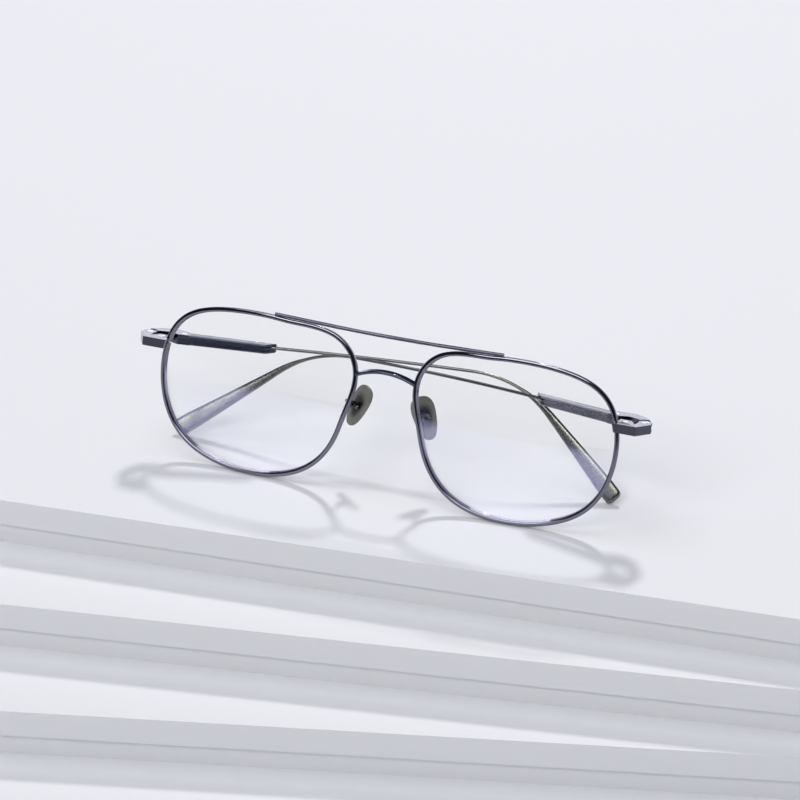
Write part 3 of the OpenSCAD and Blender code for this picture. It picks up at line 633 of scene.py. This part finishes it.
def makeTempleWire(sideName):
    body = temple["length"] - temple["cap"]
    count = temple["capRings"]
    stations = [wireIn + (body - wireIn) * i / temple["stations"] for i in range(temple["stations"] + 1)]
    stations += [body + temple["cap"] * math.sin(math.pi / 2 * k / count) for k in range(1, count)]
    rings = [wireRing(s, sideName) for s in stations]
    ends = [foldedToFront(wireAt(s, sideName)) for s in (wireIn, temple["length"] - temple["endBack"])]
    poles = [toWorld(p, sideSign[sideName]) for p in ends]
    name = "templeWire." + sideName
    piece = finishMesh(name, tubeMesh(name, rings, poles), temple["sharpAngle"])
    piece.data.materials.append(wireTitanium)
    piece.data.materials.append(tipTitanium)
    # The blasted finish begins where the bend does
    tipFrom = sum(s < temple["bendAt"] for s in stations)
    for face in piece.data.polygons:
        face.material_index = int(face.index // temple["around"] >= tipFrom)
    standFor(piece, "temple_wire_" + sideName, "wire_titanium")


for sideName in sideSign:
    makeTempleWire(sideName)
print("temple wires made")

# Nose pads: egg-shaped plate with a lug, in mm and degrees; shares run from its middle, 0, to its edge, 1
pad = {
    "length": 11.6, "width": 6.0, "thick": 1.1, "egg": 0.24, "square": 2.5, "place": (9.2, 8.8, -0.6),
    "splay": 60, "pitch": 13.6, "turn": 17.6, "dome": 0.35, "sharpAngle": 40, "around": 72,
    "lugShares": (0.25, 0.5, 0.75), "lugFlat": 0.93, "edgeRound": 0.28, "edgeRings": 5,
    "noseFlat": 0.92, "noseShares": (0.8, 0.65, 0.5, 0.35, 0.2),
    "lugWidth": 0.8, "lugRadius": 0.55, "lugStand": 0.95, "lugRoot": 0.2, "lugSteps": 12}
# Pad arms: a bent wire from the rim's inner side, and the box that holds the lug between its cheeks
arm = {
    "wire": 0.9, "height": 2.0, "rootBetween": (4.5, 7.5), "rootIn": 0.1, "rootAhead": 0.2,
    "leaves": (1.9, 2.4, -0.2), "enters": (0.3, 0.4, 2.2), "endIn": 0.1, "slopeOver": 0.01,
    "cheek": 0.45, "cheekGap": 0.05, "boxLong": 1.6, "boxClear": 0.1, "boxRoof": 0.5, "edge": 0.08,
    "sharpAngle": 40, "rings": 40, "around": 16}
lugHeight = pad["thick"] / 2 + pad["lugStand"]
slotHalf = pad["lugWidth"] / 2 + arm["cheekGap"]
boxHalf = slotHalf + arm["cheek"]
boxFloor = lugHeight + pad["lugRadius"] + arm["boxClear"]
boxTop = boxFloor + arm["boxRoof"]


def turned(p, degrees, axes):
    a = math.radians(degrees)
    i, j = axes
    q = list(p)
    q[i] = p[i] * math.cos(a) - p[j] * math.sin(a)
    q[j] = p[i] * math.sin(a) + p[j] * math.cos(a)
    return q


def padToFront(p):
    q = turned(p, pad["turn"], (0, 1))
    q = turned(q, 90 - pad["pitch"], (1, 2))
    return Vector(pad["place"]) + Vector(turned(q, 90 - pad["splay"], (0, 1)))


def padProfile():
    # Rings as share and height: flat on the lug's side, round at the edge, domed towards the nose
    back = pad["thick"] / 2
    lugFlat, noseFlat, edge, count = (pad[k] for k in ("lugFlat", "noseFlat", "edgeRound", "edgeRings"))
    profile = [(s, back) for s in pad["lugShares"] + (lugFlat,)]
    for k in range(1, count + 1):
        a = math.radians(90 / count * k)
        profile.append((lugFlat + (1 - lugFlat) * math.sin(a), back - edge * (1 - math.cos(a))))
    for k in range(count + 1):
        a = math.radians(90 / count * k)
        profile.append((noseFlat + (1 - noseFlat) * math.cos(a), edge - back - edge * math.sin(a)))
    profile += [(s, -back - pad["dome"] * (1 - (s / noseFlat) ** 2)) for s in pad["noseShares"]]
    return profile


def makePad(sideName):
    side = sideSign[sideName]
    back = pad["thick"] / 2

    def place(x, y, z):
        return toWorld(padToFront((x, y, z)), side)

    rings = []
    for share, z in padProfile():
        ring = []
        for k in range(pad["around"]):
            a = 2 * math.pi * k / pad["around"]
            y = rounded(math.sin(a), pad["square"])
            x = pad["width"] / 2 * rounded(math.cos(a), pad["square"]) * (1 + pad["egg"] * y)
            ring.append(place(x * share, pad["length"] / 2 * y * share, z))
        rings.append(ring)
    plate = tubeMesh("plate", rings, [place(0, 0, back), place(0, 0, -back - pad["dome"])])
    radius = pad["lugRadius"]
    outline = [(-radius, back - pad["lugRoot"])]
    for k in range(pad["lugSteps"] + 1):
        a = math.radians(180 / pad["lugSteps"] * k)
        outline.append((-radius * math.cos(a), lugHeight + radius * math.sin(a)))
    outline.append((radius, back - pad["lugRoot"]))
    half = pad["lugWidth"] / 2
    lug = prismMesh("lug", outline, -half, half, lambda u, w, v: place(w, u, v))
    name = "nosePad." + sideName
    piece = finishMesh(name, joinMeshes(name, [plate, lug]), pad["sharpAngle"])
    piece.data.materials.append(padSilicone)
    standFor(piece, "nose_pad_" + sideName, "olive_pad")


def bezier(points, t):
    weights = ((1 - t) ** 3, 3 * t * (1 - t) ** 2, 3 * t * t * (1 - t), t ** 3)
    return sum((w * Vector(p) for w, p in zip(weights, points)), Vector())


def makePadArm(sideName):
    side = sideSign[sideName]
    rootParam = outlineParam(arm["height"], arm["rootBetween"], False)
    root = rimOffset(rootParam, -arm["rootIn"], arm["rootAhead"] - halfDepth)
    x, y, above = arm["enters"]
    end = padToFront((0, 0, boxTop - arm["endIn"]))
    path = [root, root + Vector(arm["leaves"]), padToFront((x, y, boxTop + above)), end]
    rings = []
    for i in range(arm["rings"] + 1):
        t = i / arm["rings"]
        along = (bezier(path, t + arm["slopeOver"]) - bezier(path, t - arm["slopeOver"])).normalized()
        across = along.cross(Vector((0, 0, 1))).normalized()
        up = across.cross(along)
        ring = []
        for k in range(arm["around"]):
            a = 2 * math.pi * k / arm["around"]
            beside = arm["wire"] / 2 * (math.cos(a) * across + math.sin(a) * up)
            ring.append(toWorld(bezier(path, t) + beside, side))
        rings.append(ring)
    wire = tubeMesh("wire", rings, [toWorld(root, side), toWorld(end, side)])
    base = lugHeight - pad["lugRadius"]
    outline = [
        (-boxHalf, base), (-slotHalf, base), (-slotHalf, boxFloor), (slotHalf, boxFloor),
        (slotHalf, base), (boxHalf, base), (boxHalf, boxTop), (-boxHalf, boxTop)]
    half = arm["boxLong"] / 2
    box = prismMesh("box", outline, -half, half, lambda u, w, v: toWorld(padToFront((u, w, v)), side))
    name = "padArm." + sideName
    piece = finishMesh(name, joinMeshes(name, [wire, box]), arm["sharpAngle"])
    softenEdges(piece, arm["edge"])
    piece.data.materials.append(armTitanium)
    standFor(piece, "pad_arm_" + sideName, "wire_titanium")


for sideName in sideSign:
    makePad(sideName)
    makePadArm(sideName)
print("pads and arms made")

# The milled and turned pieces are the solids with rounded edges: width of the rounding in mm, finish, slot
milled = {
    "brow_bar": (0.0, blockTitanium, "purple_titanium"),
    "bridge": (0.09, bridgeTitanium, "dark_titanium"),
}
perSide = {
    "endpiece": (0.12, blockTitanium, "purple_titanium"),
    "rim_lock": (0.08, blockTitanium, "dark_titanium"),
    "knuckle": (0.12, blockTitanium, "purple_titanium"),
    "temple_block": (0.1, barTitanium, "grey_titanium"),
    "rim_screw": (0.04, screwSteel, "screw_steel"),
    "hinge_screw": (0.04, screwSteel, "screw_steel"),
    "hinge_washers": (0.02, screwSteel, "screw_steel"),
    "knuckle_screw": (0.04, screwSteel, "screw_steel"),
    "clamp_screws": (0.03, screwSteel, "screw_steel"),
    "pad_screw": (0.04, screwSteel, "screw_steel"),
}
for sideName in sideSign:
    for name, row in perSide.items():
        milled[name + "_" + sideName] = row
# The left bar takes the shaded copy of the bar finish: painted shade
milled["temple_block_left"] = (perSide["temple_block"][0], navyTitanium, "grey_titanium")
for node, (edgeWidth, finish, slotName) in milled.items():
    copied = roundedCopy(node, edgeWidth)
    copied.data.materials.append(finish)
    standFor(copied, node, slotName)
print("milled pieces made:", len(milled))

# Floor: white boards fanned out as shallow steps, the object on the top one; sizes in mm, turns in degrees
boards = {
    "colour": "#E8E9EC", "roughness": 0.6, "ior": 1.45, "thick": 13.0, "upper": 7.2, "inset": 1.2,
    "reach": 6000.0, "edges": [(-42.3, 5.2), (-64.3, 10.0), (-86.9, 15.5)]}


def makeFloor():
    made, tree = newMaterial("paintedBoard")
    surface = addNode(
        tree, "ShaderNodeBsdfPrincipled",
        {"Base Color": srgb(boards["colour"]), "Roughness": boards["roughness"], "IOR": boards["ior"]})
    addNode(tree, "ShaderNodeOutputMaterial", {}, {"Surface": surface.outputs[0]})
    # Each board's front face has two steps, the lower one set back a little
    layers = ((0, boards["upper"], 0), (boards["inset"], boards["thick"], boards["upper"]))
    reach = boards["reach"]
    meshes = []
    for number, (ahead, turn) in enumerate(boards["edges"]):
        along = Vector((math.cos(math.radians(turn)), math.sin(math.radians(turn)), 0))
        back = Vector((-along.y, along.x, 0))
        edge = Vector((0, ahead, -number * boards["thick"]))
        for inset, low, high in layers:
            at = edge + back * inset
            corners = [at - along * reach, at + along * reach]
            corners += [at + along * reach + back * 2 * reach, at - along * reach + back * 2 * reach]
            outline = [(k, 0) for k in range(4)]
            meshes.append(prismMesh(
                "board", outline, -low, -high, lambda u, w, v, c=corners: (c[u] + Vector((0, 0, w))) * mm))
    base = -len(boards["edges"]) * boards["thick"]
    ground = bpy.data.meshes.new("ground")
    square = [(-reach, -reach), (reach, -reach), (reach, reach), (-reach, reach)]
    ground.from_pydata([Vector((x, y, base)) * mm for x, y in square], [], [(0, 1, 2, 3)])
    floor = finishMesh("floor", joinMeshes("floor", meshes + [ground]))
    floor.data.materials.append(made)


# Room: a low pale wall round the back and sides, grey above it, dark in front of the object. The front's
# turn is in degrees, its edges are cosines of the angle from its middle, and the wall's are sines of height
room = {
    "pale": "#E6E9F0", "front": "#26262E", "upper": "#5A5C68", "strength": 1.0, "frontTurn": 12,
    "frontFrom": 0.64, "frontTo": 0.40, "wallFrom": 0.14, "wallTo": 0.36, "horizon": 0.02}


def makeRoom():
    world = bpy.data.worlds.new("room")
    bpy.context.scene.world = world
    world.use_nodes = True
    tree = world.node_tree
    tree.nodes.clear()
    spots = addNode(tree, "ShaderNodeTexCoord", {})
    split = addNode(tree, "ShaderNodeSeparateXYZ", {}, {0: spots.outputs["Generated"]})
    turn = math.radians(room["frontTurn"])
    toFront = addNode(
        tree, "ShaderNodeVectorMath",
        {"operation": "DOT_PRODUCT", 1: (-math.sin(turn), -math.cos(turn), 0)},
        {0: spots.outputs["Generated"]})
    facing = addNode(
        tree, "ShaderNodeMapRange",
        {"interpolation_type": "SMOOTHSTEP", "From Min": room["frontTo"], "From Max": room["frontFrom"]},
        {"Value": toFront.outputs["Value"]})
    raised = addNode(
        tree, "ShaderNodeMapRange",
        {"interpolation_type": "SMOOTHSTEP", "From Min": -room["horizon"], "From Max": room["horizon"]},
        {"Value": split.outputs["Z"]})
    inFront = addNode(
        tree, "ShaderNodeMath", {"operation": "MULTIPLY"}, {0: facing.outputs[0], 1: raised.outputs[0]})
    above = addNode(
        tree, "ShaderNodeMapRange",
        {"interpolation_type": "SMOOTHSTEP", "From Min": room["wallFrom"], "From Max": room["wallTo"]},
        {"Value": split.outputs["Z"]})
    wall = addNode(
        tree, "ShaderNodeMix", {"data_type": "RGBA", 6: srgb(room["pale"]), 7: srgb(room["upper"])},
        {0: above.outputs[0]})
    tone = addNode(
        tree, "ShaderNodeMix", {"data_type": "RGBA", 7: srgb(room["front"])},
        {0: inFront.outputs[0], 6: wall.outputs[2]})
    light = addNode(
        tree, "ShaderNodeBackground", {"Strength": room["strength"]}, {"Color": tone.outputs[2]})
    addNode(tree, "ShaderNodeOutputWorld", {}, {"Surface": light.outputs[0]})


# Lamps: sizes in metres, watts, and the direction they shine from (azimuth from +Y to +X, elevation)
lamps = {
    "key": {
        "azimuth": -11, "elevation": 50, "distance": 2.0,
        "size": (0.17, 0.17), "watts": 16, "colour": "#FFFFFF"},
    "overhead": {
        "azimuth": 262, "elevation": 75, "distance": 3.0,
        "size": (1.9, 1.9), "watts": 27, "colour": "#FCFCFF"},
    "backWall": {
        "azimuth": -4, "elevation": 6, "distance": 3.0,
        "size": (4.6, 0.62), "watts": 15, "colour": "#F4F6FF"},
    "fill": {
        "azimuth": 188, "elevation": 42, "distance": 3.4,
        "size": (2.2, 1.6), "watts": 56, "colour": "#FFFFFF"},
}


def makeLamps():
    aim = Vector((0, 0, 0.02))
    for name, lamp in lamps.items():
        data = bpy.data.lights.new(name, "AREA")
        data.shape = "RECTANGLE"
        data.size, data.size_y = lamp["size"]
        data.energy = lamp["watts"]
        data.color = srgb(lamp["colour"])[:3]
        around, above = math.radians(lamp["azimuth"]), math.radians(lamp["elevation"])
        level = math.cos(above)
        away = Vector((math.sin(around) * level, math.cos(around) * level, math.sin(above)))
        placed = bpy.data.objects.new(name, data)
        placed.location = aim + away * lamp["distance"]
        placed.rotation_euler = away.to_track_quat("Z", "Y").to_euler()
        bpy.context.scene.collection.objects.link(placed)


makeFloor()
makeRoom()
makeLamps()
bpy.context.scene.view_settings.view_transform = "Standard"
print("floor, room and lamps made")
